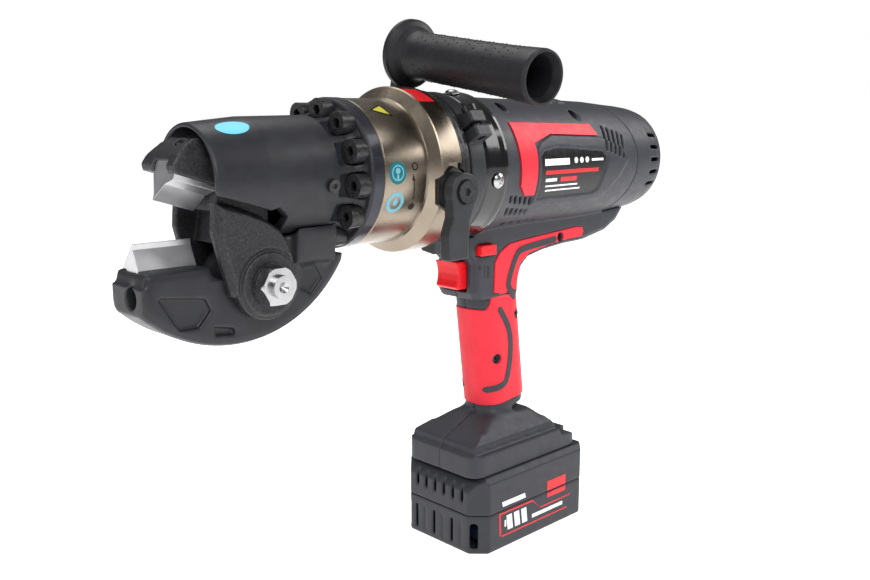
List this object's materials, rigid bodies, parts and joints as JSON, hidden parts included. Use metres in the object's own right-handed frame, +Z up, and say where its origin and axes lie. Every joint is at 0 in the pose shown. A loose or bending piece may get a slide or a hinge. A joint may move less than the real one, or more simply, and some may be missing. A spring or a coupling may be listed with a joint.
{
  "type": "rescue cutter",
  "caption": "Cordless rescue cutter: pistol-grip motor body and slide-on battery drive a hydraulic cylinder whose hinged upper jaw closes its blade past a fixed hooked lower jaw.",
  "frame": {"origin": "centre of the battery's flat underside", "axes": "+X forward along the barrel towards the jaws, +Z up, +Y to the operator's left"},
  "size_m": [0.4126, 0.1504, 0.342],
  "materials": {
    "cast_black": "rough casting",
    "blade_steel": "ground",
    "black_steel": "black oxide",
    "bright_steel": "machined",
    "bronze": "machined",
    "cylinder_steel": "turned",
    "seal_rubber": "matte",
    "spring_steel": "oiled",
    "pump_metal": "machined",
    "adapter_black": "gloss",
    "lever_black": "satin",
    "handle_rubber": "matte with raised dots",
    "housing_grey": "fine grain",
    "panel_red": "matte",
    "grip_red": "fine ribs",
    "trigger_red": "satin",
    "battery_grey": "fine grain",
    "cell_blue": "sleeved",
    "copper": "wound",
    "magnet": "dark",
    "internal_plastic": "matte"
  },
  "bodies": {
    "tool": {"head_shroud": "cast_black", "lower_jaw": "cast_black", "lower_blade": "blade_steel", "lower_blade_screw": "black_steel", "pivot_bush": "bronze", "head_screws": "black_steel", "grease_plug": "black_steel", "cylinder_body": "cylinder_steel", "gland_ring": "bronze", "return_spring": "spring_steel", "spacer_rings": "black_steel", "pump_body": "pump_metal", "pump_plunger": "bright_steel", "oil_bladder": "seal_rubber", "valve_hub": "pump_metal", "adapter_ring": "adapter_black", "adapter_screws": "bright_steel", "ring_gear": "bright_steel", "drive_bearing": "bright_steel", "motor_can": "magnet", "motor_magnets": "magnet", "motor_bearings": "bright_steel", "housing_left": "housing_grey", "housing_right": "housing_grey", "side_panels": "panel_red", "rear_cap": "housing_grey", "housing_screws": "black_steel", "grip_cover": "grip_red", "switch_module": "internal_plastic"},
    "moving_jaw": {"upper_jaw": "cast_black", "upper_blade": "blade_steel", "upper_blade_screw": "black_steel", "pivot_pin": "bright_steel", "pivot_nut": "bright_steel", "pivot_washers": "black_steel"},
    "piston_group": {"piston": "bright_steel", "piston_seal": "seal_rubber", "piston_rod": "bright_steel"},
    "release": {"valve_stem": "bright_steel", "release_lever": "lever_black", "lever_screw": "black_steel"},
    "side_handle": {"handle_clamp": "lever_black", "clamp_bolt": "black_steel", "handle_stud": "bright_steel", "handle_grip": "handle_rubber"},
    "trigger_group": {"trigger": "trigger_red"},
    "lock_group": {"lock_button": "trigger_red"},
    "rotor": {"sun_gear": "bright_steel", "armature": "copper", "motor_shaft": "bright_steel", "cooling_fan": "internal_plastic"},
    "carrier": {"planet_carrier": "bright_steel"},
    "planet_a": {"planet_gear_1": "bronze"},
    "planet_b": {"planet_gear_2": "bronze"},
    "planet_c": {"planet_gear_3": "bronze"},
    "battery": {"battery_lower_shell": "battery_grey", "battery_upper_shell": "battery_grey", "battery_cells": "cell_blue", "battery_terminals": "bronze"},
    "latch": {"battery_latch": "internal_plastic"}
  },
  "joints": [
    {"name": "jaw_pivot", "type": "hinge", "parent": "tool", "child": "moving_jaw", "pos_m": [0.203, 0, 0.1988], "axis": [0, 1, 0], "range_deg": [0, 21]},
    {"name": "piston_slide", "type": "slide", "parent": "tool", "child": "piston_group", "axis": [1, 0, 0], "range_m": [0, 0.0201], "stiffness_N_per_m": 6000, "springref_m": -0.02, "deforming": ["return_spring"]},
    {"name": "release_turn", "type": "hinge", "parent": "tool", "child": "release", "pos_m": [0.093, 0.05, 0.242], "axis": [0, -1, 0], "range_deg": [0, 60]},
    {"name": "handle_turn", "type": "hinge", "parent": "tool", "child": "side_handle", "pos_m": [0.07, 0, 0.252], "axis": [1, 0, 0], "range_deg": [-8, 95]},
    {"name": "trigger_press", "type": "slide", "parent": "tool", "child": "trigger_group", "axis": [-1, 0, 0], "range_m": [0, 0.006], "stiffness_N_per_m": 600, "springref_m": -0.004},
    {"name": "lock_press", "type": "slide", "parent": "tool", "child": "lock_group", "axis": [0, -1, 0], "range_m": [0, 0.004], "stiffness_N_per_m": 400, "springref_m": -0.003},
    {"name": "rotor_spin", "type": "hinge", "parent": "tool", "child": "rotor", "pos_m": [0, 0, 0.252], "axis": [1, 0, 0], "continuous": true},
    {"name": "carrier_spin", "type": "hinge", "parent": "tool", "child": "carrier", "pos_m": [0, 0, 0.252], "axis": [1, 0, 0], "continuous": true},
    {"name": "planet_a_spin", "type": "hinge", "parent": "carrier", "child": "planet_a", "pos_m": [0.011, 0, 0.2655], "axis": [1, 0, 0], "continuous": true},
    {"name": "planet_b_spin", "type": "hinge", "parent": "carrier", "child": "planet_b", "pos_m": [0.011, -0.01169, 0.24525], "axis": [1, 0, 0], "continuous": true},
    {"name": "planet_c_spin", "type": "hinge", "parent": "carrier", "child": "planet_c", "pos_m": [0.011, 0.01169, 0.24525], "axis": [1, 0, 0], "continuous": true},
    {"name": "battery_slide", "type": "slide", "parent": "tool", "child": "battery", "axis": [-1, 0, 0], "range_m": [0, 0.045]},
    {"name": "latch_press", "type": "slide", "parent": "battery", "child": "latch", "axis": [1, 0, 0], "range_m": [0, 0.003], "stiffness_N_per_m": 500, "springref_m": -0.003}
  ],
  "couplings": [
    {"joint": "piston_slide", "follows": "jaw_pivot", "m_per_rad": 0.05457},
    {"joint": "carrier_spin", "follows": "rotor_spin", "ratio": 0.2},
    {"joint": "planet_a_spin", "follows": "rotor_spin", "ratio": -0.53333},
    {"joint": "planet_b_spin", "follows": "rotor_spin", "ratio": -0.53333},
    {"joint": "planet_c_spin", "follows": "rotor_spin", "ratio": -0.53333}
  ]
}
